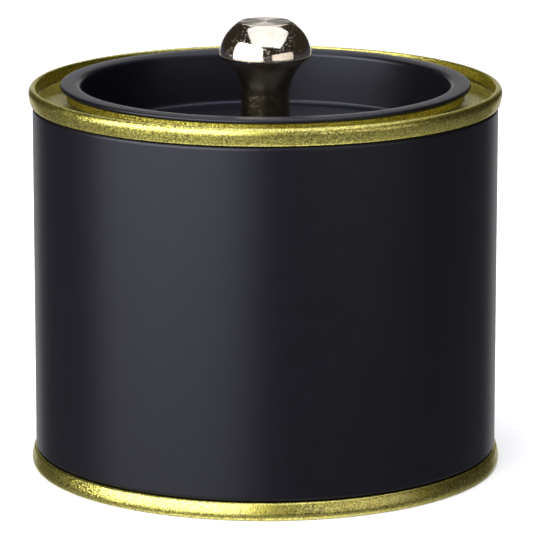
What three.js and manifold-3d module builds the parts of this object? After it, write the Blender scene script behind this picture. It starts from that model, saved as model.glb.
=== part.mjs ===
// A round candle tin, in millimetres, standing on its base seam with +Z up and the origin under its centre.
//
// Three pieces of tinplate make the tin: a welded body, a base end and a top ring. Double seams roll them
// together, with a line of sealing compound in each. The lid is a plug: its wall fits the throat of the ring
// and its curled rim rests on the bead round the throat. A turned knob is screwed to the lid from below.

import * as THREE from 'three';
import { mergeVertices } from 'three/addons/utils/BufferGeometryUtils.js';
import Module from 'manifold-3d';

// ---- Driving dimensions ----

const TIN_HEIGHT = 69; // foot of the base seam to the crest of the top seam
const BODY_RADIUS = 41.65; // outside of the body wall
const GAUGE = 0.23; // thickness of the tinplate
const SEAM_PLAY = 0.04; // space between two layers of a seam
const SEAM_HEIGHT = 3.2;
const SEAM_CORNER = 0.7; // how far in a seam's rounded outer shoulder reaches over its crest
const SEAM_SHOULDER = 1.25; // how far it reaches down the seam's outer face
const CHUCK_CORNER = 0.2; // bend radius at the inner corner of the crest
const SEAM_LEAN = 0.57; // how much further in the foot of a seam lies than its crest
const NECK_DEPTH = 3; // depth where the body wall starts to come back out, past the seam
const NECK_END = 3.8; // depth where it is back out
const COMPOUND_ROOM = 0.5; // depth of the space that the compound fills above the body hook
const COMPOUND_INNER = -140; // degrees round the bend of the body hook where the compound starts
const COMPOUND_OUTER = -60; // and where it ends, short of the seam's rounded outer corner

const LID_TOP = 69.55; // height of the flat top of the lid's rim
const LID_RADIUS = 36.65; // outside of the lid's curled rim
const LID_CURL = 0.35; // bend radius of the curl
const LID_CURL_TURN = 240; // degrees that the curl rolls round
const LID_SHOULDER = 0.9; // bend radius from the rim down into the plug wall
const LID_DEPTH = 9.55; // rim down to the middle of the floor
const LID_FLOOR_STEP = 0.4; // how far the edge of the floor lies below its middle
const LID_FLOOR_STEP_RADIUS = 28;
const PLUG_RADIUS = 33.25; // outside of the plug wall at its top
const PLUG_TAPER = 0.15; // how much smaller the plug is at its foot
const PLUG_FILLET = 0.9; // bend from the plug wall into the floor
const PLUG_PLAY = 0.1; // space between the plug and the throat

const CHANNEL_DEPTH = 2.4; // crest of the top seam down to the ring's channel
const CHANNEL_FILLET = 0.9;
const THROAT_BEAD = 0.8; // bend radius of the bead that the lid rests on
const THROAT_DEPTH = 7.5; // crest of the seam down to the throat's hem
const THROAT_HEM = 0.4;

const BASE_PANEL_DEPTH = 3.3; // foot of the base seam up to the panel
const BASE_SINK_DEPTH = 3.9; // foot of the base seam up to the bend of the countersink
const BASE_SINK_BEND = 0.5;
const BASE_BEAD_RADIUS = 27;
const BASE_BEAD_WIDTH = 3;
const BASE_BEAD_HEIGHT = 0.6;

const KNOB_HEIGHT = 20.5;
const KNOB_RADIUS = 8.25; // widest point of the mushroom head
const KNOB_FACE_RADIUS = 4.7; // flat face on top
const KNOB_HEAD_DROP = 6.15; // flat face down to the widest point
const KNOB_LIP = 0.35; // rounding under the widest point
const KNOB_LIP_TURN = 60; // degrees that the rounding runs
const KNOB_BORE_POINT = 1; // height of the drill's cone at the end of the screw hole
const KNOB_STEM_RADIUS = 4.38;
const KNOB_NECK_RADIUS = 8.3; // hollow curve from the stem up to the head
const KNOB_NECK_HEIGHT = 7.2; // height where that curve leaves the stem

const SCREW_RADIUS = 2; // M4
const SCREW_LENGTH = 8;
const SCREW_BEVEL = 0.5; // at the screw's end
const SCREW_HEAD_RADIUS = 4;
const SCREW_HEAD_HEIGHT = 2.4;
const RECESS_SPAN = 4.4; // cross recess in the screw head
const RECESS_WIDTH = 1;
const RECESS_DEPTH = 1.5;
const WASHER_RADIUS = 4.5;
const WASHER_THICKNESS = 0.8;
const HOLE_PLAY = 0.15; // space round the screw in the lid and the washer
const THREAD_PLAY = 0.06; // space round the screw in the knob
const REST_PLAY = 0.02; // space between two faces that rest on each other

const WELD_WIDTH = 0.8; // overlap of the body sheet up the back
const WELD_STAND = 0.08; // how far the overlap stands proud

const TURNED_STEPS = 40; // facets round the tin and the lid
const SMALL_STEPS = 20; // facets round the screw and the washer
const CORNER_STEPS = 2;
const SHOULDER_STEPS = 8;
const BEND_STEPS = 4;
const CURVE_STEPS = 6;

// ---- Layers of a double seam, as centre line radii from the inside out ----

const HALF_GAUGE = GAUGE / 2;
const LAYER = GAUGE + SEAM_PLAY;
const BODY_LINE = BODY_RADIUS - HALF_GAUGE;
const CHUCK_LINE = BODY_LINE - LAYER;
const COVER_HOOK_LINE = BODY_LINE + LAYER;
const BODY_HOOK_LINE = COVER_HOOK_LINE + LAYER;
const SEAM_LINE = BODY_HOOK_LINE + LAYER;
const BODY_BEND_DEPTH = GAUGE + COMPOUND_ROOM + HALF_GAUGE + LAYER;
const COVER_BEND_DEPTH = SEAM_HEIGHT - HALF_GAUGE - LAYER;
const HOOK_END_ROOM = 0.15; // space past the tip of each hook
const LAYER_DEPTHS = [1.45, 2.15]; // where the layers bend between the crest and the foot

// ---- Materials ----

const blackCoating = new THREE.MeshStandardMaterial({ color: 0x1c1d21, roughness: 0.5, metalness: 0.1 });
const goldLacquer = new THREE.MeshStandardMaterial({ color: 0xa2943e, roughness: 0.35, metalness: 0.9 });
const sealingCompound = new THREE.MeshStandardMaterial({ color: 0x8a8578, roughness: 0.9, metalness: 0 });
const polishedMetal = new THREE.MeshStandardMaterial({ color: 0x6a6152, roughness: 0.08, metalness: 1 });
const zincPlate = new THREE.MeshStandardMaterial({ color: 0xb4b6ba, roughness: 0.3, metalness: 1 });

// ---- Outlines ----

const at = (radius, height) => new THREE.Vector2(radius, height);

// Points along an arc, with both ends, its angles in degrees.
function arc(centreRadius, centreHeight, bend, from, to, steps) {
  const points = [];
  for (let i = 0; i <= steps; i += 1) {
    const angle = THREE.MathUtils.degToRad(from + ((to - from) * i) / steps);
    points.push(at(centreRadius + bend * Math.cos(angle), centreHeight + bend * Math.sin(angle)));
  }
  return points;
}

// A line moved sideways by a distance, with mitred corners.
function offsetLine(line, distance) {
  return line.map((point, i) => {
    const before = line[Math.max(i - 1, 0)];
    const after = line[Math.min(i + 1, line.length - 1)];
    const arriving = point.clone().sub(before).normalize();
    const leaving = after.clone().sub(point).normalize();
    const along = arriving.clone().add(leaving).normalize();
    const run = i === 0 ? leaving : arriving;
    const reach = distance / along.dot(run);
    return at(point.x - along.y * reach, point.y + along.x * reach);
  });
}

// The section of a piece of tinplate that follows a centre line.
function sheetOutline(line) {
  return [...offsetLine(line, HALF_GAUGE), ...offsetLine(line, -HALF_GAUGE).reverse()];
}

// A seam curves in from its crest to its foot, and all its layers curve together.
const leanAt = (depth) => SEAM_LEAN * (depth / SEAM_HEIGHT) ** 2;
const leaned = (line) => line.map((point) => at(point.x - leanAt(point.y), point.y));

// The points between the ends of a layer of a seam, from its crest towards its foot.
const layer = (radius) => LAYER_DEPTHS.map((depth) => at(radius, depth));

const fromTop = (line, top) => line.map((point) => at(point.x, top - point.y));

// A solid of revolution about Z. An outline that doesn't end on the axis closes on itself.
function turned(outline, steps) {
  const points = THREE.ShapeUtils.area(outline) > 0 ? [...outline] : [...outline].reverse();
  if (points[0].x > 0) points.push(points[0]);
  return new THREE.LatheGeometry(points, steps).rotateX(Math.PI / 2);
}

// ---- Booleans ----

const wasm = await Module();
wasm.setup();

function solidOf(geometry) {
  const bare = geometry.clone();
  bare.deleteAttribute('normal');
  bare.deleteAttribute('uv');
  const merged = mergeVertices(bare);
  return new wasm.Manifold(
    new wasm.Mesh({
      numProp: 3,
      vertProperties: new Float32Array(merged.attributes.position.array),
      triVerts: new Uint32Array(merged.index.array),
    }),
  );
}

function geometryOf(solid) {
  const mesh = solid.getMesh();
  const geometry = new THREE.BufferGeometry();
  geometry.setAttribute('position', new THREE.BufferAttribute(mesh.vertProperties, 3));
  geometry.setIndex(new THREE.BufferAttribute(mesh.triVerts, 1));
  geometry.computeVertexNormals();
  return geometry;
}

// ---- The tin ----

// One hooked edge of the body, from the tip of the hook to the wall. Depth runs from the seam's outer edge.
function bodyHookLine() {
  const inSeam = [
    at(BODY_HOOK_LINE, COVER_BEND_DEPTH - HOOK_END_ROOM),
    ...layer(BODY_HOOK_LINE).reverse(),
    ...arc(COVER_HOOK_LINE, BODY_BEND_DEPTH, LAYER, 0, -180, BEND_STEPS),
    ...layer(BODY_LINE),
    at(BODY_LINE, NECK_DEPTH),
  ];
  return [...leaned(inSeam), at(BODY_LINE, NECK_END)];
}

// The outer face of a seam rounds over to its crest in a quarter of an ellipse.
function seamShoulder() {
  const centre = at(SEAM_LINE - SEAM_CORNER, HALF_GAUGE + SEAM_SHOULDER);
  const quarter = arc(0, 0, 1, 0, -90, SHOULDER_STEPS);
  return quarter.map((point) => at(centre.x + SEAM_CORNER * point.x, centre.y + SEAM_SHOULDER * point.y));
}

// The rolled edge of an end, from the tip of its hook round the seam to the chuck wall.
function endSeamLine() {
  return leaned([
    at(COVER_HOOK_LINE, BODY_BEND_DEPTH + HOOK_END_ROOM),
    ...layer(COVER_HOOK_LINE),
    ...arc(BODY_HOOK_LINE, COVER_BEND_DEPTH, LAYER, 180, 0, BEND_STEPS),
    ...layer(SEAM_LINE).reverse(),
    ...seamShoulder(),
    ...arc(CHUCK_LINE + CHUCK_CORNER, HALF_GAUGE + CHUCK_CORNER, CHUCK_CORNER, -90, -180, CORNER_STEPS),
    at(CHUCK_LINE, LAYER_DEPTHS[0]),
  ]);
}

// The overlap welded up the back of the body, between the two seams.
function sideWeld() {
  const height = TIN_HEIGHT - 2 * (SEAM_HEIGHT + WELD_WIDTH);
  const strip = new THREE.BoxGeometry(WELD_WIDTH, GAUGE, height);
  return strip.translate(0, BODY_RADIUS + WELD_STAND - HALF_GAUGE, TIN_HEIGHT / 2);
}

function bodyShell() {
  const line = [...fromTop(bodyHookLine(), TIN_HEIGHT), ...bodyHookLine().reverse()];
  const wall = turned(sheetOutline(line), TURNED_STEPS);
  return geometryOf(solidOf(wall).add(solidOf(sideWeld())));
}

// The ring's channel, the bead that the lid rests on, the throat wall and the hem at its foot.
function topRing() {
  const channelLine = CHANNEL_DEPTH + HALF_GAUGE;
  const chuckFoot = CHUCK_LINE - leanAt(channelLine - CHANNEL_FILLET);
  const throatLine = PLUG_RADIUS + PLUG_PLAY + HALF_GAUGE;
  const beadLeg = throatLine + 2 * THROAT_BEAD;
  const beadDepth = TIN_HEIGHT - LID_TOP + GAUGE + REST_PLAY + HALF_GAUGE + THROAT_BEAD;
  const hemDepth = THROAT_DEPTH - HALF_GAUGE - THROAT_HEM;
  const line = [
    ...endSeamLine(),
    ...arc(chuckFoot - CHANNEL_FILLET, channelLine - CHANNEL_FILLET, CHANNEL_FILLET, 0, 90, CORNER_STEPS),
    ...arc(beadLeg + THROAT_BEAD, channelLine - THROAT_BEAD, THROAT_BEAD, 90, 180, CORNER_STEPS),
    ...arc(beadLeg - THROAT_BEAD, beadDepth, THROAT_BEAD, 0, -180, BEND_STEPS),
    ...arc(throatLine + THROAT_HEM, hemDepth, THROAT_HEM, 180, 0, BEND_STEPS),
  ];
  return turned(sheetOutline(fromTop(line, TIN_HEIGHT)), TURNED_STEPS);
}

// The countersink, the stiffening bead and the flat panel of the base.
function baseEnd() {
  const sinkDepth = BASE_SINK_DEPTH + HALF_GAUGE - BASE_SINK_BEND;
  const sinkFoot = CHUCK_LINE - leanAt(sinkDepth);
  const sinkInner = sinkFoot - 2 * BASE_SINK_BEND;
  const panelLine = BASE_PANEL_DEPTH + HALF_GAUGE;
  const beadTop = panelLine + BASE_BEAD_HEIGHT;
  const halfBead = BASE_BEAD_WIDTH / 2;
  const halfCrest = halfBead / 2;
  const line = [
    ...endSeamLine(),
    ...arc(sinkFoot - BASE_SINK_BEND, sinkDepth, BASE_SINK_BEND, 0, 180, BEND_STEPS),
    at(sinkInner - BASE_SINK_BEND, panelLine),
    at(BASE_BEAD_RADIUS + halfBead, panelLine),
    at(BASE_BEAD_RADIUS + halfCrest, beadTop),
    at(BASE_BEAD_RADIUS - halfCrest, beadTop),
    at(BASE_BEAD_RADIUS - halfBead, panelLine),
    at(0, panelLine),
  ];
  return turned(sheetOutline(line), TURNED_STEPS);
}

// The compound lies between the crest of the seam and the bend of the body hook, towards the tin's inside.
function compoundOutline() {
  const saddle = LAYER + HALF_GAUGE + SEAM_PLAY;
  const crest = GAUGE + 2 * SEAM_PLAY;
  return leaned([
    at(COVER_HOOK_LINE, crest),
    at(COVER_HOOK_LINE - LAYER, crest),
    ...arc(COVER_HOOK_LINE, BODY_BEND_DEPTH, saddle, COMPOUND_INNER, COMPOUND_OUTER, BEND_STEPS),
  ]);
}

const topSeamCompound = () => turned(fromTop(compoundOutline(), TIN_HEIGHT), TURNED_STEPS);
const baseSeamCompound = () => turned(compoundOutline(), TURNED_STEPS);

// ---- The lid ----

// The lid from the edge of its screw hole out to the tip of its curl. Depth runs from the rim's flat top.
function lidPan() {
  const holeRadius = SCREW_RADIUS + HOLE_PLAY;
  const wallTop = PLUG_RADIUS - HALF_GAUGE;
  const wallFoot = wallTop - PLUG_TAPER;
  const middleLine = LID_DEPTH + HALF_GAUGE;
  const edgeLine = middleLine + LID_FLOOR_STEP;
  const bendDepth = HALF_GAUGE + LID_CURL;
  const curlCentre = LID_RADIUS - HALF_GAUGE - LID_CURL;
  const line = [
    at(holeRadius, middleLine),
    at(LID_FLOOR_STEP_RADIUS, middleLine),
    at(LID_FLOOR_STEP_RADIUS + 2 * LID_FLOOR_STEP, edgeLine),
    ...arc(wallFoot - PLUG_FILLET, edgeLine - PLUG_FILLET, PLUG_FILLET, 90, 0, CORNER_STEPS),
    ...arc(wallTop + LID_SHOULDER, HALF_GAUGE + LID_SHOULDER, LID_SHOULDER, -180, -90, CORNER_STEPS),
    ...arc(curlCentre, bendDepth, LID_CURL, -90, LID_CURL_TURN - 90, CURVE_STEPS),
  ];
  return turned(sheetOutline(fromTop(line, LID_TOP)), TURNED_STEPS);
}

const FLOOR_TOP = LID_TOP - LID_DEPTH;
const FLOOR_UNDER = FLOOR_TOP - GAUGE;
const WASHER_UNDER = FLOOR_UNDER - REST_PLAY - WASHER_THICKNESS;
const SCREW_SEAT = WASHER_UNDER - REST_PLAY;

// The knob from the end of its screw hole down, out and up round the stem, the head and the flat face.
function knob() {
  const base = FLOOR_TOP + REST_PLAY;
  const boreRadius = SCREW_RADIUS + THREAD_PLAY;
  const boreEnd = SCREW_SEAT + SCREW_LENGTH + SCREW_RADIUS;
  const top = base + KNOB_HEIGHT;
  const widest = top - KNOB_HEAD_DROP;
  const faceInset = KNOB_RADIUS - KNOB_FACE_RADIUS;
  const domeRadius = (faceInset ** 2 + KNOB_HEAD_DROP ** 2) / (2 * faceInset);
  const domeCentre = KNOB_RADIUS - domeRadius;
  const domeEnd = THREE.MathUtils.radToDeg(Math.asin(KNOB_HEAD_DROP / domeRadius));
  const neckCentre = KNOB_STEM_RADIUS + KNOB_NECK_RADIUS;
  const lipFoot = KNOB_RADIUS - KNOB_LIP;
  const neckEnd = THREE.MathUtils.radToDeg(Math.acos((neckCentre - lipFoot) / KNOB_NECK_RADIUS));
  const outline = [
    at(0, boreEnd),
    at(boreRadius, boreEnd - KNOB_BORE_POINT),
    at(boreRadius, base),
    at(KNOB_STEM_RADIUS, base),
    ...arc(neckCentre, base + KNOB_NECK_HEIGHT, KNOB_NECK_RADIUS, 180, 180 - neckEnd, CURVE_STEPS),
    ...arc(lipFoot, widest, KNOB_LIP, -KNOB_LIP_TURN, 0, CORNER_STEPS),
    ...arc(domeCentre, widest, domeRadius, 0, domeEnd, CURVE_STEPS).slice(1),
    at(0, top),
  ];
  return turned(outline, TURNED_STEPS);
}

function washer() {
  const inner = SCREW_RADIUS + HOLE_PLAY;
  const upper = WASHER_UNDER + WASHER_THICKNESS;
  const outline = [
    at(inner, WASHER_UNDER),
    at(WASHER_RADIUS, WASHER_UNDER),
    at(WASHER_RADIUS, upper),
    at(inner, upper),
  ];
  return turned(outline, SMALL_STEPS);
}

// The cross recess opens through the underside of the screw head.
function crossRecess() {
  const height = 2 * RECESS_DEPTH;
  const headFoot = SCREW_SEAT - SCREW_HEAD_HEIGHT;
  const slot = (x, y) => solidOf(new THREE.BoxGeometry(x, y, height).translate(0, 0, headFoot));
  return slot(RECESS_SPAN, RECESS_WIDTH).add(slot(RECESS_WIDTH, RECESS_SPAN));
}

function screw() {
  const headFoot = SCREW_SEAT - SCREW_HEAD_HEIGHT;
  const tip = SCREW_SEAT + SCREW_LENGTH;
  const headEdge = SCREW_HEAD_HEIGHT / 2;
  const outline = [
    at(0, headFoot),
    ...arc(SCREW_HEAD_RADIUS - headEdge, headFoot + headEdge, headEdge, -90, 0, CORNER_STEPS),
    at(SCREW_HEAD_RADIUS, SCREW_SEAT),
    at(SCREW_RADIUS, SCREW_SEAT),
    at(SCREW_RADIUS, tip - SCREW_BEVEL),
    at(SCREW_RADIUS - SCREW_BEVEL, tip),
    at(0, tip),
  ];
  return geometryOf(solidOf(turned(outline, SMALL_STEPS)).subtract(crossRecess()));
}

// ---- The assembly ----

function piece(name, geometry, material) {
  const mesh = new THREE.Mesh(geometry, material);
  mesh.name = name;
  return mesh;
}

const tin = new THREE.Group();
tin.add(
  piece('body_shell', bodyShell(), blackCoating),
  piece('top_ring', topRing(), goldLacquer),
  piece('base_end', baseEnd(), goldLacquer),
  piece('top_seam_compound', topSeamCompound(), sealingCompound),
  piece('base_seam_compound', baseSeamCompound(), sealingCompound),
);

const lid = new THREE.Group();
lid.add(
  piece('lid_pan', lidPan(), blackCoating),
  piece('knob', knob(), polishedMetal),
  piece('knob_washer', washer(), zincPlate),
  piece('knob_screw', screw(), zincPlate),
);

const candleTin = new THREE.Group();
candleTin.add(tin, lid);

export default candleTin;
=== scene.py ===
"""The looks of the candle tin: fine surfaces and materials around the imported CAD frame."""

import math

import bmesh
import bpy
from mathutils import Matrix, Vector

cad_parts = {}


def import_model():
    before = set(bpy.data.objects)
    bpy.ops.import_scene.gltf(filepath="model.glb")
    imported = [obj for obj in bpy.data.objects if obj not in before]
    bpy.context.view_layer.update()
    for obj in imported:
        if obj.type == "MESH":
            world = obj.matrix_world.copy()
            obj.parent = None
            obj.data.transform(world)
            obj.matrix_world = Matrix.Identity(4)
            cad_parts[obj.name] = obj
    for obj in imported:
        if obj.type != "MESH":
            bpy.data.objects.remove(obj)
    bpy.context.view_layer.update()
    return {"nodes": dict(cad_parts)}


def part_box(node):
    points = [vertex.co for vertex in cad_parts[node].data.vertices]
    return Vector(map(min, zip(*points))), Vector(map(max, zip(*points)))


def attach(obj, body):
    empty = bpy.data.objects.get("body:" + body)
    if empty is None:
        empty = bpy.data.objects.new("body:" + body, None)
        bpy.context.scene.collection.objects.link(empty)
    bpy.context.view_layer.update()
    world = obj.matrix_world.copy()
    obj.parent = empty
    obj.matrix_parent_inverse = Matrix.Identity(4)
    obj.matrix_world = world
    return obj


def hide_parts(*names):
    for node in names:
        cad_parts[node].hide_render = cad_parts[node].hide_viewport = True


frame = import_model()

MM = 0.001  # sections are drawn in millimetres


def low(node):
    """The lowest corner of a CAD node, in millimetres."""
    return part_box(node)[0] / MM


def high(node):
    """The highest corner of a CAD node, in millimetres."""
    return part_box(node)[1] / MM


def hole_radius(node):
    """The radius of the hole through a flat round CAD node, in millimetres."""
    return min(math.hypot(v.co.x, v.co.y) for v in frame["nodes"][node].data.vertices) / MM


# ---- Sizes, in millimetres, as in the CAD, with finer edges on the knob and the fasteners ----

TIN_HEIGHT = 69
BODY_RADIUS = 41.65
GAUGE = 0.23  # tinplate thickness
HALF_GAUGE = GAUGE / 2
SEAM_PLAY = 0.04
SEAM_HEIGHT = 3.2
SEAM_CORNER = 0.7
SEAM_SHOULDER = 1.25
SHOULDER_STEP = 5.625  # degrees, half the CAD's step
CHUCK_CORNER = 0.2
SEAM_LEAN = 0.57
SEAM_STEPS = 6  # bends of a layer between its crest and its foot
NECK_DEPTH = 3
NECK_END = 3.8
NECK_STEPS = 6
COMPOUND_ROOM = 0.5
COMPOUND_INNER, COMPOUND_OUTER = -140, -60  # degrees round the bend of the body hook
HOOK_END_ROOM = 0.15

LAYER = GAUGE + SEAM_PLAY
BODY_LINE = BODY_RADIUS - HALF_GAUGE
CHUCK_LINE = BODY_LINE - LAYER
COVER_HOOK_LINE = BODY_LINE + LAYER
BODY_HOOK_LINE = COVER_HOOK_LINE + LAYER
SEAM_LINE = BODY_HOOK_LINE + LAYER
BODY_BEND_DEPTH = GAUGE + COMPOUND_ROOM + HALF_GAUGE + LAYER
COVER_BEND_DEPTH = SEAM_HEIGHT - HALF_GAUGE - LAYER
LAYER_STEP = (COVER_BEND_DEPTH - BODY_BEND_DEPTH) / SEAM_STEPS
LAYER_DEPTHS = [BODY_BEND_DEPTH + LAYER_STEP * i for i in range(1, SEAM_STEPS)]

WELD_WIDTH = 0.8
WELD_STAND = 0.08
WELD_START = SEAM_HEIGHT + WELD_WIDTH
WELD_RAMP = 0.6  # length over which the ends of the overlap rise
WELD_STEPS = 6
WALL_RINGS = 10

LID_TOP = high("lid_pan").z
LID_RADIUS = high("lid_pan").x
LID_CURL = 0.35
LID_CURL_TURN = 240  # degrees that the curl rolls round
LID_SHOULDER = 0.9
LID_DEPTH = 9.55
LID_FLOOR_STEP = 0.4
LID_FLOOR_STEP_RADIUS = 28
LID_FLOOR_STEP_TURN = 45  # degrees that each of its two bends turns
PLUG_RADIUS = 33.25
PLUG_TAPER = 0.15
PLUG_FILLET = 0.9
PLUG_PLAY = 0.1
REST_PLAY = 0.02

CHANNEL_DEPTH = 2.4
CHANNEL_FILLET = 0.9
THROAT_BEAD = 0.8
THROAT_DEPTH = TIN_HEIGHT - low("top_ring").z
THROAT_HEM = 0.4

BASE_PANEL_DEPTH = 3.3
BASE_SINK_DEPTH = 3.9
BASE_SINK_BEND = 0.5
BASE_BEAD_RADIUS = 27
BASE_BEAD_WIDTH = 3
BASE_BEAD_HEIGHT = 0.6
BEAD_STEPS = 12

KNOB_BASE = low("knob").z
KNOB_TOP = high("knob").z
KNOB_RADIUS = high("knob").x
KNOB_FACE_RADIUS = 4.4  # inside the rounding of its edge
KNOB_FACE_EDGE = 1  # rounding between the dome and the flat face
KNOB_FACE_MARGIN = 0.25  # a narrow band inside the face, which keeps its shading flat
KNOB_HEAD_DROP = 6.15
KNOB_LIP = 0.35
KNOB_LIP_START, KNOB_LIP_END = -70, -10  # degrees
KNOB_FOOT_BEVEL = KNOB_LIP / 3
KNOB_STEM_RADIUS = 4.38
KNOB_NECK_RADIUS = 8.3
KNOB_NECK_HEIGHT = 7.2
KNOB_BORE_POINT = 1

WASHER_BEVEL = 0.16

SCREW_RADIUS = 2
SCREW_BEVEL = 0.5
SCREW_SEAT = low("knob_washer").z - REST_PLAY
SCREW_TIP = high("knob_screw").z
THREAD_PLAY = 0.06
THREAD_PITCH = 0.7
THREAD_DEPTH = 0.38
THREAD_STEPS = 8  # rings to a turn of the thread
RECESS_SPAN = 4.4
RECESS_WIDTH = 1
RECESS_DEPTH = 1.5
RECESS_TAPER = 0.45  # its size at the bottom, as a share of its size at the face
RECESS_FLARE = 1.1  # the cutter's size below the face, as the same share
RECESS_OVERRUN = 0.5  # how far the cutter starts below the face

TURNS = 192  # facets round the tin and the lid
SMALL_TURNS = 96  # facets round the knob and the fasteners
BEND_STEP = 15  # degrees to a facet along a bend in a section
CURVE_STEP = 3  # degrees to a facet along the knob's wide curves
CORNER_STEP = 10  # degrees to a facet along small corners in plain sight
SHARP_ANGLE = math.radians(38)
CLOSE = 0.001  # two places less than this apart are the same


# ---- Sections and solids of revolution ----


def at(radius, height):
    return Vector((radius, height))


def arc(radius, height, bend, start, end, step=BEND_STEP):
    """Points along an arc in a section, with both ends, its angles in degrees."""
    count = max(2, round(abs(end - start) / step))
    turns = [math.radians(start + (end - start) * i / count) for i in range(count + 1)]
    return [at(radius + bend * math.cos(t), height + bend * math.sin(t)) for t in turns]


def beside(line, distance):
    """A line moved sideways by a distance, with mitred corners."""
    moved = []
    for i, point in enumerate(line):
        before = line[max(i - 1, 0)]
        after = line[min(i + 1, len(line) - 1)]
        arriving = (point - before).normalized()
        leaving = (after - point).normalized()
        along = (arriving + leaving).normalized()
        reach = distance / along.dot(arriving if i else leaving)
        moved.append(point + at(-along.y, along.x) * reach)
    return moved


def lean_at(depth):
    """How far a seam and all its layers have curved in at a depth from its crest."""
    return SEAM_LEAN * (depth / SEAM_HEIGHT) ** 2


def leaned(line):
    """A line by radius and depth, curved in as the seam is."""
    return [at(point.x - lean_at(point.y), point.y) for point in line]


def layer(radius):
    """The points between the ends of a layer of a seam, from its crest towards its foot."""
    return [at(radius, depth) for depth in LAYER_DEPTHS]


def from_top(line, top):
    """A line by height, from a line by its depth below a top."""
    return [at(point.x, top - point.y) for point in line]


def even_turn(count):
    """Angles evenly round a whole turn."""
    return [2 * math.pi * i / count for i in range(count)]


def finished(piece):
    """Shades a piece smooth, with its true edges sharp."""
    piece.data.shade_smooth()
    piece.data.set_sharp_from_angle(angle=SHARP_ANGLE)
    return piece


def solid(name, bm):
    """A shaded object from a closed bmesh."""
    bmesh.ops.recalc_face_normals(bm, faces=bm.faces)
    mesh = bpy.data.meshes.new(name)
    bm.to_mesh(mesh)
    bm.free()
    piece = bpy.data.objects.new(name, mesh)
    bpy.context.scene.collection.objects.link(piece)
    return finished(piece)


def revolve(name, outline, count, skins=None, angles=None, swell=None):
    """A closed solid from an outline of (radius, height) points turned about Z, its angles from the back.

    An outline that starts on the axis ends on it too. skins gives each side its material index, and
    swell(angle, point) adds to a point's radius.
    """
    bm = bmesh.new()
    angles = angles or even_turn(count)
    on_axis = outline[0].x < CLOSE
    rings = []
    for point in outline:
        if point.x < CLOSE:
            rings.append([bm.verts.new((0, 0, point.y * MM))] * len(angles))
            continue
        radii = [(point.x + (swell(angle, point) if swell else 0)) * MM for angle in angles]
        places = [(r * math.sin(a), r * math.cos(a), point.y * MM) for r, a in zip(radii, angles)]
        rings.append([bm.verts.new(place) for place in places])
    for i in range(len(rings) - 1 if on_axis else len(rings)):
        here, there = rings[i], rings[(i + 1) % len(rings)]
        for k in range(len(angles)):
            n = (k + 1) % len(angles)
            corners = dict.fromkeys((here[k], here[n], there[n], there[k]))
            bm.faces.new(corners).material_index = skins[i] if skins else 0
    return solid(name, bm)


def rolled_sheet(name, line, left_skin, right_skin, angles=None, swell=None):
    """A piece of tinplate that follows a line. The skins are the material indices of its two faces."""
    left = beside(line, HALF_GAUGE)
    right = beside(line, -HALF_GAUGE)
    sides = [right_skin] * len(right) + [left_skin] * len(left)
    return revolve(name, right[::-1] + left, TURNS, sides, angles, swell)


# ---- Materials ----


RING_SCALE = 1500  # about 5 turned rings to a millimetre
QUARTER_TURN = 0.25
MIX_A, MIX_B, MIX_RESULT = 6, 7, 2  # the colour sockets of a Mix node


def tree_mix(tree, share, first, second):
    """A colour between two, by a share from 0 to 1. Either may be a colour or a socket."""
    node = tree.nodes.new("ShaderNodeMix")
    node.data_type = "RGBA"
    tree.links.new(share, node.inputs["Factor"])
    for colour, target in ((first, node.inputs[MIX_A]), (second, node.inputs[MIX_B])):
        if isinstance(colour, tuple):
            target.default_value = (*colour, 1)
        else:
            tree.links.new(colour, target)
    return node.outputs[MIX_RESULT]


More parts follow.
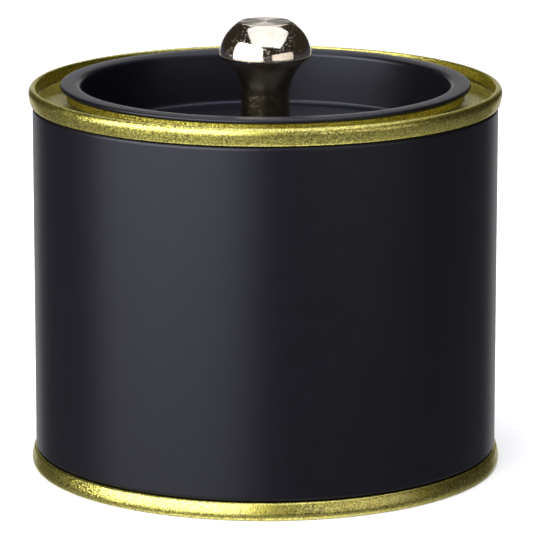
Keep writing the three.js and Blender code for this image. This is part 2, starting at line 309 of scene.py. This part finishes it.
class Look:
    """A Principled material being wired, with its textures in the object's own space."""

    def __init__(self, name, metallic=0.0, specular=0.5):
        self.material = bpy.data.materials.new(name)
        self.material.use_nodes = True
        self.tree = self.material.node_tree
        self.shader = self.tree.nodes["Principled BSDF"]
        self.place = self.tree.nodes.new("ShaderNodeTexCoord").outputs["Object"]
        self.even("Metallic", metallic)
        self.even("Specular IOR Level", specular)

    def even(self, socket, value):
        """Sets one of the shader's own values, the same all over."""
        self.shader.inputs[socket].default_value = value

    def link(self, source, target):
        self.tree.links.new(source, target)

    def scaled_place(self, stretch):
        mapping = self.tree.nodes.new("ShaderNodeMapping")
        mapping.inputs["Scale"].default_value = stretch
        self.link(self.place, mapping.inputs["Vector"])
        return mapping.outputs["Vector"]

    def noise(self, size_mm, detail=2.0, stretch=(1, 1, 1)):
        """Smooth noise with features of about that size."""
        node = self.tree.nodes.new("ShaderNodeTexNoise")
        node.inputs["Scale"].default_value = 1 / (size_mm * MM)
        node.inputs["Detail"].default_value = detail
        self.link(self.scaled_place(stretch), node.inputs["Vector"])
        return node.outputs["Fac"]

    def cells(self, size_mm):
        node = self.tree.nodes.new("ShaderNodeTexVoronoi")
        node.inputs["Scale"].default_value = 1 / (size_mm * MM)
        self.link(self.place, node.inputs["Vector"])
        return node

    def flakes(self, size_mm):
        """A random colour for each flake of about that size."""
        return self.cells(size_mm).outputs["Color"]

    def spots(self, spacing_mm):
        """The distance from scattered points, as a share of their spacing."""
        return self.cells(spacing_mm).outputs["Distance"]

    def share(self, colour):
        """One number from 0 to 1 out of a random colour."""
        split = self.tree.nodes.new("ShaderNodeSeparateColor")
        self.link(colour, split.inputs["Color"])
        return split.outputs["Red"]

    def vector_math(self, operation, vector):
        node = self.tree.nodes.new("ShaderNodeVectorMath")
        node.operation = operation
        self.link(vector, node.inputs[0])
        return node

    def tilted(self, flakes, amount):
        """Tilts each flake its own way, by up to about half the amount in radians."""
        centred = self.vector_math("SUBTRACT", flakes)
        centred.inputs[1].default_value = (0.5, 0.5, 0.5)
        offset = self.vector_math("SCALE", centred.outputs["Vector"])
        offset.inputs["Scale"].default_value = amount
        facing = self.vector_math("ADD", offset.outputs["Vector"])
        self.link(self.tree.nodes.new("ShaderNodeNewGeometry").outputs["Normal"], facing.inputs[1])
        unit = self.vector_math("NORMALIZE", facing.outputs["Vector"])
        self.link(unit.outputs["Vector"], self.shader.inputs["Normal"])

    def ranged(self, source, low_value, high_value, start=0.3, stop=0.7):
        """Stretches a number between start and stop to run from the low value to the high one."""
        node = self.tree.nodes.new("ShaderNodeMapRange")
        node.inputs["From Min"].default_value = start
        node.inputs["From Max"].default_value = stop
        node.inputs["To Min"].default_value = low_value
        node.inputs["To Max"].default_value = high_value
        self.link(source, node.inputs["Value"])
        return node.outputs["Result"]

    def blend(self, share, dark, light):
        return tree_mix(self.tree, share, dark, light)

    def colour(self, source):
        self.link(source, self.shader.inputs["Base Color"])

    def roughness(self, source):
        self.link(source, self.shader.inputs["Roughness"])

    def bump(self, source, height_mm):
        """Raises the surface by a texture, on top of what has already been given to its normal."""
        node = self.tree.nodes.new("ShaderNodeBump")
        node.inputs["Distance"].default_value = height_mm * MM
        self.link(source, node.inputs["Height"])
        previous = self.shader.inputs["Normal"].links
        if previous:
            self.link(previous[0].from_socket, node.inputs["Normal"])
        self.link(node.outputs["Normal"], self.shader.inputs["Normal"])


def black_coating():
    """Satin black with a bluish gloss, slightly uneven like a sprayed coat."""
    dark, light = (0.0014, 0.0014, 0.0024), (0.0022, 0.0022, 0.0038)
    bluish = (0.82, 0.84, 1, 1)
    look = Look("black_coating")
    look.even("Specular Tint", bluish)
    cloud = look.ranged(look.noise(3, detail=3), 0, 1)
    look.colour(look.blend(cloud, dark, light))
    look.roughness(look.ranged(look.noise(0.7, detail=3), 0.32, 0.36))
    look.bump(look.noise(0.5, detail=2), height_mm=0.004)
    return look.material


def gold_lacquer():
    """Olive gold full of fine metal flakes, each with its own shade and tilt, under a clear coat."""
    dark_flake, light_flake, binder = (0.14, 0.116, 0.006), (1.0, 0.92, 0.24), (0.66, 0.575, 0.075)
    yellowish = (0.85, 0.8, 0.45, 1)
    look = Look("gold_lacquer", metallic=1.0)
    look.even("Specular Tint", yellowish)
    look.even("Coat Weight", 0.4)
    look.even("Coat IOR", 1.8)
    look.even("Coat Roughness", 0.16)
    flakes = look.flakes(0.18)
    fleck = look.blend(look.share(flakes), dark_flake, light_flake)
    cloud = look.ranged(look.noise(2.5, detail=3), 0, 0.3)
    look.colour(look.blend(cloud, fleck, binder))
    look.roughness(look.ranged(look.share(flakes), 0.28, 0.36, start=0, stop=1))
    look.tilted(flakes, 0.22)
    look.bump(look.noise(0.35, detail=2), height_mm=0.02)
    return look.material


def bare_tinplate():
    """Bright tin with fine lines that run up the walls."""
    dark, light = (0.50, 0.50, 0.49), (0.66, 0.66, 0.65)
    look = Look("bare_tinplate", metallic=1.0)
    drawn = look.noise(0.5, detail=4, stretch=(1, 1, 0.04))
    look.colour(look.blend(look.ranged(drawn, 0, 1), dark, light))
    look.roughness(look.ranged(look.noise(3, detail=3), 0.30, 0.36, start=0, stop=1))
    look.bump(drawn, height_mm=0.004)
    return look.material


def pits(look, depth_mm):
    """Scattered pinholes in a plated surface."""
    look.bump(look.ranged(look.spots(0.36), 0, 1, start=0.06, stop=0.26), depth_mm)


def polished_metal():
    """Champagne plating with a mirror polish."""
    dark, light = (0.66, 0.59, 0.48), (0.76, 0.69, 0.58)
    look = Look("polished_metal", metallic=1.0)
    cloud = look.ranged(look.noise(3, detail=2), 0, 1)
    look.colour(look.blend(cloud, dark, light))
    look.roughness(look.ranged(look.noise(0.8, detail=3), 0.03, 0.08))
    look.bump(look.noise(0.25, detail=2), height_mm=0.007)
    pits(look, 0.022)
    return look.material


def satin_metal_painted_shade():
    """The duller plating of the knob's stem and of the hollow under its head, with a darker brown colour
    that is painted shade under the head.
    """
    # Darker and browner than the polished head: painted shade in the hollow under the head, over a duller
    # finish.
    dark, light = (0.42, 0.34, 0.21), (0.54, 0.45, 0.29)
    look = Look("satin_metal_painted_shade", metallic=1.0)
    cloud = look.ranged(look.noise(2, detail=3), 0, 1)
    look.colour(look.blend(cloud, dark, light))
    look.roughness(look.ranged(look.noise(0.5, detail=3), 0.16, 0.24))
    look.bump(look.noise(0.25, detail=2), height_mm=0.008)
    pits(look, 0.018)
    return look.material


def turned_metal():
    """The lathe-faced top of the knob: fine rings round its centre, which stretch reflections outwards."""
    dark, light = (0.56, 0.51, 0.44), (0.68, 0.62, 0.54)
    look = Look("turned_metal", metallic=1.0)
    look.even("Anisotropic", 0.9)
    look.even("Anisotropic Rotation", QUARTER_TURN)
    tangent = look.tree.nodes.new("ShaderNodeTangent")
    tangent.direction_type = "RADIAL"
    tangent.axis = "Z"
    look.link(tangent.outputs["Tangent"], look.shader.inputs["Tangent"])
    cloud = look.ranged(look.noise(1.2, detail=3), 0, 1)
    look.colour(look.blend(cloud, dark, light))
    look.roughness(look.ranged(look.noise(0.5, detail=3), 0.32, 0.42))
    rings = look.tree.nodes.new("ShaderNodeTexWave")
    rings.wave_type = "RINGS"
    rings.rings_direction = "Z"
    rings.inputs["Scale"].default_value = RING_SCALE
    look.link(look.place, rings.inputs["Vector"])
    look.bump(rings.outputs["Fac"], height_mm=0.004)
    return look.material


def zinc_plate():
    """Bright zinc, bluish in places and yellowish in others."""
    bluish, yellowish = (0.52, 0.54, 0.58), (0.66, 0.66, 0.62)
    look = Look("zinc_plate", metallic=1.0)
    cloud = look.ranged(look.noise(2, detail=3), 0, 1)
    look.colour(look.blend(cloud, bluish, yellowish))
    look.roughness(look.ranged(look.noise(0.5, detail=3), 0.2, 0.34))
    look.bump(look.noise(0.3, detail=2), height_mm=0.004)
    return look.material


def sealing_compound():
    """Dull grey-brown rubber."""
    dark, light = (0.2, 0.18, 0.15), (0.3, 0.28, 0.23)
    look = Look("sealing_compound", specular=0.3)
    cloud = look.ranged(look.noise(0.8, detail=3), 0, 1)
    look.colour(look.blend(cloud, dark, light))
    look.roughness(look.ranged(look.noise(0.5), 0.65, 0.85))
    look.bump(look.noise(0.3, detail=3), height_mm=0.01)
    return look.material


def dress(piece, body, node, slot, *materials):
    """Gives a piece its materials, and stands it in the frame for a CAD node."""
    for material in materials:
        piece.data.materials.append(material)
    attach(piece, body)
    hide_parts(node)
    return piece


# ---- The tin ----

COATED, BARE = 0, 1


def seam_shoulder():
    """The outer face of a seam rounds over to its crest in a quarter of an ellipse."""
    centre = at(SEAM_LINE - SEAM_CORNER, HALF_GAUGE + SEAM_SHOULDER)
    return [centre + at(SEAM_CORNER * x, SEAM_SHOULDER * y) for x, y in arc(0, 0, 1, 0, -90, SHOULDER_STEP)]


def end_seam(wall_depth):
    """The rolled edge of an end, from its hook round to the chuck wall, by depth from its outer edge."""
    chuck_wall = [point for point in layer(CHUCK_LINE) if point.y < wall_depth]
    return leaned([
        at(COVER_HOOK_LINE, BODY_BEND_DEPTH + HOOK_END_ROOM),
        *layer(COVER_HOOK_LINE),
        *arc(BODY_HOOK_LINE, COVER_BEND_DEPTH, LAYER, 180, 0),
        *layer(SEAM_LINE)[::-1],
        *seam_shoulder(),
        *arc(CHUCK_LINE + CHUCK_CORNER, HALF_GAUGE + CHUCK_CORNER, CHUCK_CORNER, -90, -180),
        *chuck_wall,
    ])


def body_hook():
    """One hooked edge of the body, from its tip to the wall, by depth from the seam's outer edge."""
    in_seam = [
        at(BODY_HOOK_LINE, COVER_BEND_DEPTH - HOOK_END_ROOM),
        *layer(BODY_HOOK_LINE)[::-1],
        *arc(COVER_HOOK_LINE, BODY_BEND_DEPTH, LAYER, 0, -180),
        *layer(BODY_LINE),
    ]
    neck = []
    for i in range(NECK_STEPS + 1):
        turn = math.pi * i / NECK_STEPS
        depth = NECK_DEPTH + (NECK_END - NECK_DEPTH) * i / NECK_STEPS
        neck.append(at(BODY_LINE - lean_at(NECK_DEPTH) * (1 + math.cos(turn)) / 2, depth))
    return leaned(in_seam) + neck


def weld_swell(angle, point):
    """The overlap of the body sheet stands proud up the back, between the seams."""
    across = abs(math.remainder(angle, 2 * math.pi)) * BODY_RADIUS
    from_end = min(point.y, TIN_HEIGHT - point.y) - WELD_START
    if from_end < 0 or not BODY_LINE < point.x < BODY_RADIUS + CLOSE:
        return 0
    side = max(0, min(1, (WELD_WIDTH - across) / (WELD_WIDTH / 2)))
    rise = (1 - math.cos(math.pi * min(1, from_end / WELD_RAMP))) / 2
    return WELD_STAND * side * rise


def body_shell(black, tinplate):
    """The wall between its two hooked edges, with the overlap of the sheet up the back."""
    ramp = [WELD_START + WELD_RAMP * i / WELD_STEPS for i in range(WELD_STEPS + 1)]
    first, last = ramp[-1], TIN_HEIGHT - ramp[-1]
    rings = [first + (last - first) * i / WALL_RINGS for i in range(1, WALL_RINGS)]
    heights = [*ramp, *rings, *(TIN_HEIGHT - z for z in reversed(ramp))]
    wall = [at(BODY_LINE, z) for z in heights]
    line = body_hook() + wall + from_top(body_hook(), TIN_HEIGHT)[::-1]
    weld_angles = [k * WELD_WIDTH / 2 / BODY_RADIUS for k in (-2, -1, 1, 2)]  # the overlap's edges
    angles = sorted(set(even_turn(TURNS)) | {a % (2 * math.pi) for a in weld_angles})
    piece = rolled_sheet("tin_body", line, BARE, COATED, angles, weld_swell)
    return dress(piece, "tin", "body_shell", "black_coating", black, tinplate)


def top_ring(gold, tinplate):
    """The rolled seam, the channel, the bead that the lid rests on, the throat wall and its hem."""
    channel = CHANNEL_DEPTH + HALF_GAUGE
    wall_depth = channel - CHANNEL_FILLET
    chuck_foot = CHUCK_LINE - lean_at(wall_depth)
    throat = PLUG_RADIUS + PLUG_PLAY + HALF_GAUGE
    bead_leg = throat + 2 * THROAT_BEAD
    bead_depth = TIN_HEIGHT - LID_TOP + GAUGE + REST_PLAY + HALF_GAUGE + THROAT_BEAD
    hem_depth = THROAT_DEPTH - HALF_GAUGE - THROAT_HEM
    line = [
        *end_seam(wall_depth),
        *arc(chuck_foot - CHANNEL_FILLET, wall_depth, CHANNEL_FILLET, 0, 90),
        *arc(bead_leg + THROAT_BEAD, channel - THROAT_BEAD, THROAT_BEAD, 90, 180),
        *arc(bead_leg - THROAT_BEAD, bead_depth, THROAT_BEAD, 0, -180),
        *arc(throat + THROAT_HEM, hem_depth, THROAT_HEM, 180, 0),
    ]
    piece = rolled_sheet("gold_ring", from_top(line, TIN_HEIGHT), BARE, COATED)
    return dress(piece, "tin", "top_ring", "gold_lacquer", gold, tinplate)


def base_end(gold, tinplate):
    """The rolled seam, the countersink, the stiffening bead and the panel."""
    sink_depth = BASE_SINK_DEPTH + HALF_GAUGE - BASE_SINK_BEND
    sink_foot = CHUCK_LINE - lean_at(sink_depth)
    sink_inner = sink_foot - 2 * BASE_SINK_BEND
    panel = BASE_PANEL_DEPTH + HALF_GAUGE
    steps = [BASE_BEAD_WIDTH * (0.5 - i / BEAD_STEPS) for i in range(BEAD_STEPS + 1)]
    rises = [(1 + math.cos(2 * math.pi * x / BASE_BEAD_WIDTH)) / 2 for x in steps]
    line = [
        *end_seam(sink_depth),
        *arc(sink_foot - BASE_SINK_BEND, sink_depth, BASE_SINK_BEND, 0, 180),
        at(sink_inner - BASE_SINK_BEND, panel),
        *[at(BASE_BEAD_RADIUS + x, panel + BASE_BEAD_HEIGHT * rise) for x, rise in zip(steps, rises)],
        at(0, panel),
    ]
    piece = rolled_sheet("gold_base", line, COATED, BARE)
    return dress(piece, "tin", "base_end", "gold_lacquer", gold, tinplate)


def compound_outline():
    """The compound lies like a saddle over the bend of the body hook."""
    saddle = LAYER + HALF_GAUGE + SEAM_PLAY
    crest = GAUGE + 2 * SEAM_PLAY
    return leaned([
        at(COVER_HOOK_LINE, crest),
        at(COVER_HOOK_LINE - LAYER, crest),
        *arc(COVER_HOOK_LINE, BODY_BEND_DEPTH, saddle, COMPOUND_INNER, COMPOUND_OUTER),
    ])


def seam_compound(name, node, outline, material):
    """The hidden line of compound in one seam."""
    piece = revolve(name, outline, TURNS)
    return dress(piece, "tin", node, "sealing_compound", material)


# ---- The lid ----


def lid_pan(black, tinplate):
    """The floor from its screw hole outwards, the plug wall and the curled rim."""
    wall_top = PLUG_RADIUS - HALF_GAUGE
    wall_foot = wall_top - PLUG_TAPER
    middle = LID_DEPTH + HALF_GAUGE
    edge = middle + LID_FLOOR_STEP
    curl_centre = LID_RADIUS - HALF_GAUGE - LID_CURL
    turn = LID_FLOOR_STEP_TURN
    step_bend = LID_FLOOR_STEP / 2 / math.sin(math.radians(turn))
    line = [
        at(hole_radius("lid_pan"), middle),
        *arc(LID_FLOOR_STEP_RADIUS, middle + step_bend, step_bend, -90, -90 + turn),
        *arc(LID_FLOOR_STEP_RADIUS + 2 * LID_FLOOR_STEP, edge - step_bend, step_bend, 90 + turn, 90),
        *arc(wall_foot - PLUG_FILLET, edge - PLUG_FILLET, PLUG_FILLET, 90, 0),
        *arc(wall_top + LID_SHOULDER, HALF_GAUGE + LID_SHOULDER, LID_SHOULDER, -180, -90),
        *arc(curl_centre, HALF_GAUGE + LID_CURL, LID_CURL, -90, LID_CURL_TURN - 90),
    ]
    piece = rolled_sheet("lid_plug", from_top(line, LID_TOP), COATED, BARE)
    return dress(piece, "lid", "lid_pan", "black_coating", black, tinplate)


PLATED, FACED, SATIN_SHADED = 0, 1, 2


def knob(metal, turned_face, satin_shaded):
    """The blind screw hole, the stem with its hollow neck, the lip, the dome and the flat face."""
    widest = KNOB_TOP - KNOB_HEAD_DROP
    inset = KNOB_RADIUS - KNOB_FACE_RADIUS
    drop = KNOB_HEAD_DROP - KNOB_FACE_EDGE
    dome = (inset**2 + drop**2 - KNOB_FACE_EDGE**2) / (2 * (inset - KNOB_FACE_EDGE))
    dome_end = math.degrees(math.asin(drop / (dome - KNOB_FACE_EDGE)))
    neck = KNOB_STEM_RADIUS + KNOB_NECK_RADIUS
    lip_centre = KNOB_RADIUS - KNOB_LIP
    neck_end = math.degrees(math.acos((neck - lip_centre) / KNOB_NECK_RADIUS))
    bore = SCREW_RADIUS + THREAD_PLAY
    bore_end = SCREW_TIP + SCREW_RADIUS
    bevel = KNOB_FOOT_BEVEL
    stem = [
        at(0, bore_end),
        at(bore, bore_end - KNOB_BORE_POINT),
        at(bore, KNOB_BASE),
        *arc(KNOB_STEM_RADIUS - bevel, KNOB_BASE + bevel, bevel, -90, 0),
        *arc(neck, KNOB_BASE + KNOB_NECK_HEIGHT, KNOB_NECK_RADIUS, 180, 180 - neck_end, CURVE_STEP),
    ]
    head = [
        *arc(lip_centre, widest, KNOB_LIP, KNOB_LIP_START, KNOB_LIP_END, CORNER_STEP),
        *arc(KNOB_RADIUS - dome, widest, dome, 0, dome_end, CURVE_STEP),
        *arc(KNOB_FACE_RADIUS, KNOB_TOP - KNOB_FACE_EDGE, KNOB_FACE_EDGE, dome_end, 90, CURVE_STEP)[1:],
    ]
    face = [at(KNOB_FACE_RADIUS - KNOB_FACE_MARGIN, KNOB_TOP), at(0, KNOB_TOP)]
    # The stem and the hollow neck take the darker satin material, which is painted shade under the head.
    skins = [SATIN_SHADED] * len(stem) + [PLATED] * (len(head) - 1) + [FACED] * len(face)
    piece = revolve("lid_knob", stem + head + face, SMALL_TURNS, skins)
    return dress(piece, "lid", "knob", "polished_metal", metal, turned_face, satin_shaded)


def knob_washer(zinc):
    """A flat washer with its outer edges rounded."""
    inner, outer = hole_radius("knob_washer"), high("knob_washer").x
    foot, top = low("knob_washer").z, high("knob_washer").z
    outline = [
        at(inner, foot),
        *arc(outer - WASHER_BEVEL, foot + WASHER_BEVEL, WASHER_BEVEL, -90, 0),
        *arc(outer - WASHER_BEVEL, top - WASHER_BEVEL, WASHER_BEVEL, 0, 90),
        at(inner, top),
    ]
    piece = revolve("flat_washer", outline, SMALL_TURNS)
    return dress(piece, "lid", "knob_washer", "zinc_plate", zinc)


def thread_swell(angle, point):
    """The shank dips between the crests of its thread."""
    if abs(point.x - SCREW_RADIUS) > CLOSE:
        return 0
    turn = (point.y / THREAD_PITCH + angle / (2 * math.pi)) % 1
    return -THREAD_DEPTH * abs(2 * turn - 1)


def cross_recess():
    """A tapered cross that is cut up into the underside of the screw head."""
    foot = low("knob_screw").z
    bm = bmesh.new()
    loops = []
    for height, scale in ((foot - RECESS_OVERRUN, RECESS_FLARE), (foot + RECESS_DEPTH, RECESS_TAPER)):
        arm, side = RECESS_SPAN / 2 * scale * MM, RECESS_WIDTH / 2 * scale * MM
        loop = []
        for quarter in range(4):
            turn = Matrix.Rotation(quarter * math.pi / 2, 3, "Z")
            for x, y in ((arm, -side), (arm, side), (side, side)):
                loop.append(bm.verts.new(turn @ Vector((x, y, height * MM))))
        loops.append(loop)
        bm.faces.new(loop)
    for k in range(len(loops[0])):
        n = (k + 1) % len(loops[0])
        bm.faces.new((loops[0][k], loops[0][n], loops[1][n], loops[1][k]))
    return solid("cross_recess", bm)


def cut(piece, tool):
    """Cuts a tool out of a piece's own mesh, and removes the tool."""
    step = piece.modifiers.new("cut", "BOOLEAN")
    step.operation = "DIFFERENCE"
    step.solver = "EXACT"
    step.object = tool
    cut_piece = piece.evaluated_get(bpy.context.evaluated_depsgraph_get())
    piece.data = bpy.data.meshes.new_from_object(cut_piece)
    piece.modifiers.clear()
    bpy.data.objects.remove(tool)
    return finished(piece)


def knob_screw(zinc):
    """The pan head with its cross recess, and the threaded shank."""
    head, foot = high("knob_screw").x, low("knob_screw").z
    edge = (SCREW_SEAT - foot) / 2
    first, last = SCREW_SEAT, SCREW_TIP - SCREW_BEVEL
    rings = round((last - first) / THREAD_PITCH) * THREAD_STEPS
    outline = [
        at(0, foot),
        *arc(head - edge, foot + edge, edge, -90, 0, CORNER_STEP),
        at(head, SCREW_SEAT),
        *[at(SCREW_RADIUS, first + (last - first) * i / rings) for i in range(rings + 1)],
        at(SCREW_RADIUS - THREAD_DEPTH, SCREW_TIP),
        at(0, SCREW_TIP),
    ]
    piece = revolve("pan_screw", outline, SMALL_TURNS, swell=thread_swell)
    cut(piece, cross_recess())
    return dress(piece, "lid", "knob_screw", "zinc_plate", zinc)


# ---- Studio ----

# Everything in the studio is in metres. The camera stands in front, on the -Y side.
VIEW_DISTANCE = 0.757
VIEW_HEIGHT = 0.206
VIEW_ASIDE = 0.0002
VIEW_PITCH = math.radians(12.68)  # downwards
VIEW_LENS = 290.3  # millimetres


def camera():
    """A long lens in front of the tin, a little above it."""
    data = bpy.data.cameras.new("camera")
    data.lens = VIEW_LENS
    obj = bpy.data.objects.new("camera", data)
    obj.location = (VIEW_ASIDE, -VIEW_DISTANCE, VIEW_HEIGHT)
    obj.rotation_euler = (math.pi / 2 - VIEW_PITCH, 0, 0)
    bpy.context.scene.collection.objects.link(obj)
    bpy.context.scene.camera = obj


UP, DOWN, TO_FRONT = (0, 0, 1), (0, 0, -1), (0, -1, 0)
WHITE = (1.05, 1.05, 1.05)
SURROUND = [  # the light of the room, by the upward part of its direction
    (-1.0, (1.8, 1.8, 1.8)),
    (-0.88, (1.4, 1.4, 1.4)),
    (-0.74, (0.5, 0.5, 0.5)),
    (-0.3, (0.12, 0.12, 0.14)),
    (-0.05, (0.06, 0.06, 0.08)),
    (0.05, (0.032, 0.027, 0.022)),
]


def softbox(name, centre, size, facing, radiance, tint=(1, 1, 1)):
    """A soft light that faces a direction, with an even radiance over its width and height."""
    data = bpy.data.lights.new(name, "AREA")
    data.shape = "RECTANGLE"
    data.size, data.size_y = size
    data.energy = radiance * math.pi * size[0] * size[1]
    data.color = tint
    obj = bpy.data.objects.new(name, data)
    obj.location = centre
    obj.rotation_euler = Vector(facing).to_track_quat("-Z", "Y").to_euler()
    obj.visible_camera = False
    bpy.context.scene.collection.objects.link(obj)
    return obj


def side_softbox(name, azimuth, distance, width, height, radiance, tint=(1, 1, 1)):
    """A soft light that stands on the floor at an azimuth in degrees from the camera's side."""
    turn = math.radians(azimuth)
    outward = Vector((math.sin(turn), -math.cos(turn), 0))
    centre = outward * distance + Vector((0, 0, height / 2))
    return softbox(name, centre, (width, height), -outward, radiance, tint)


def card(name, centre, size, facing):
    """A flat rectangle of the set, which isn't part of the object."""
    mesh = bpy.data.meshes.new(name)
    x, y = size[0] / 2, size[1] / 2
    mesh.from_pydata([(-x, -y, 0), (x, -y, 0), (x, y, 0), (-x, y, 0)], [], [(0, 1, 2, 3)])
    obj = bpy.data.objects.new(name, mesh)
    obj.location = centre
    obj.rotation_euler = Vector(facing).to_track_quat("Z", "Y").to_euler()
    bpy.context.scene.collection.objects.link(obj)
    return obj


def floor():
    """A pale floor. Reflections see the lower half of the world in its place."""
    obj = card("floor", centre=(0, 0, 0), size=(1.8, 1.8), facing=UP)
    dark, light = (0.86, 0.86, 0.86), (0.88, 0.88, 0.88)
    look = Look("pale_floor", specular=0.0)
    look.colour(look.blend(look.noise(40), dark, light))
    look.even("Roughness", 0.9)
    obj.data.materials.append(look.material)
    obj.visible_glossy = False


def glow_card(name, centre, size, facing, strength):
    """A white card that only reflections see."""
    obj = card(name, centre, size, facing)
    material = bpy.data.materials.new(name)
    material.use_nodes = True
    material.node_tree.nodes.clear()
    glow = material.node_tree.nodes.new("ShaderNodeEmission")
    glow.inputs["Strength"].default_value = strength
    out = material.node_tree.nodes.new("ShaderNodeOutputMaterial")
    material.node_tree.links.new(glow.outputs["Emission"], out.inputs["Surface"])
    obj.data.materials.append(material)
    obj.visible_camera = False
    obj.visible_diffuse = False
    obj.visible_shadow = False


def world():
    """White to the camera, and a dim room over a pale floor to everything else."""
    data = bpy.data.worlds.new("studio")
    bpy.context.scene.world = data
    data.use_nodes = True
    tree = data.node_tree
    paths = tree.nodes.new("ShaderNodeLightPath")
    place = tree.nodes.new("ShaderNodeTexCoord")
    split = tree.nodes.new("ShaderNodeSeparateXYZ")
    tree.links.new(place.outputs["Generated"], split.inputs["Vector"])
    steps = tree.nodes.new("ShaderNodeMapRange")
    steps.inputs["From Min"].default_value = -1
    tree.links.new(split.outputs["Z"], steps.inputs["Value"])
    room = tree.nodes.new("ShaderNodeValToRGB")
    tree.links.new(steps.outputs["Result"], room.inputs["Fac"])
    stops = room.color_ramp.elements
    while len(stops) < len(SURROUND):
        stops.new(1)
    for stop, (height, tone) in zip(stops, SURROUND):
        stop.position = (1 + height) / 2
        stop.color = (*tone, 1)
    seen = tree_mix(tree, paths.outputs["Is Camera Ray"], room.outputs["Color"], WHITE)
    tree.links.new(seen, tree.nodes["Background"].inputs["Color"])


def studio():
    """Large soft lights in front and above, and cards for the reflections at the rims and the knob."""
    camera()
    floor()
    cool, warm = (0.87, 0.89, 1), (1, 0.95, 0.93)
    glow_card("back_card", centre=(0, 0.65, 0.09), size=(0.45, 0.22), facing=TO_FRONT, strength=1.0)
    glow_card("low_back_card", centre=(0, 0.65, -0.14), size=(0.78, 0.24), facing=TO_FRONT, strength=0.8)
    glow_card("overhead_card", centre=(0, 0.75, 0.95), size=(0.9, 0.7), facing=(0, -0.6, -0.8), strength=1.1)
    glow_card("low_left_card", centre=(-0.66, -0.61, -0.16), size=(1.46, 0.3), facing=(0.73, 0.68, 0),
              strength=1.0)
    world()
    softbox("top_box", centre=(0.1, -0.21, 0.74), size=(1.1, 1.06), facing=(0, 0.265, -0.964),
            radiance=1.75, tint=cool)
    fill = softbox("floor_fill", centre=(0, 0.6, 1.6), size=(3.2, 3.2), facing=DOWN, radiance=1.8)
    fill.visible_glossy = False
    side_softbox("left_box", azimuth=-47, distance=0.9, width=1.46, height=0.78, radiance=4.8)
    side_softbox("right_box", azimuth=45, distance=0.9, width=0.96, height=0.3, radiance=1.2, tint=warm)
    bpy.context.scene.view_settings.view_transform = "Standard"


# ---- Everything ----

studio()
black, gold, tinplate = black_coating(), gold_lacquer(), bare_tinplate()
metal, zinc, compound = polished_metal(), zinc_plate(), sealing_compound()
body_shell(black, tinplate)
top_ring(gold, tinplate)
base_end(gold, tinplate)
seam_compound("top_compound", "top_seam_compound", from_top(compound_outline(), TIN_HEIGHT), compound)
seam_compound("base_compound", "base_seam_compound", compound_outline(), compound)
lid_pan(black, tinplate)
knob(metal, turned_metal(), satin_metal_painted_shade())
knob_washer(zinc)
knob_screw(zinc)
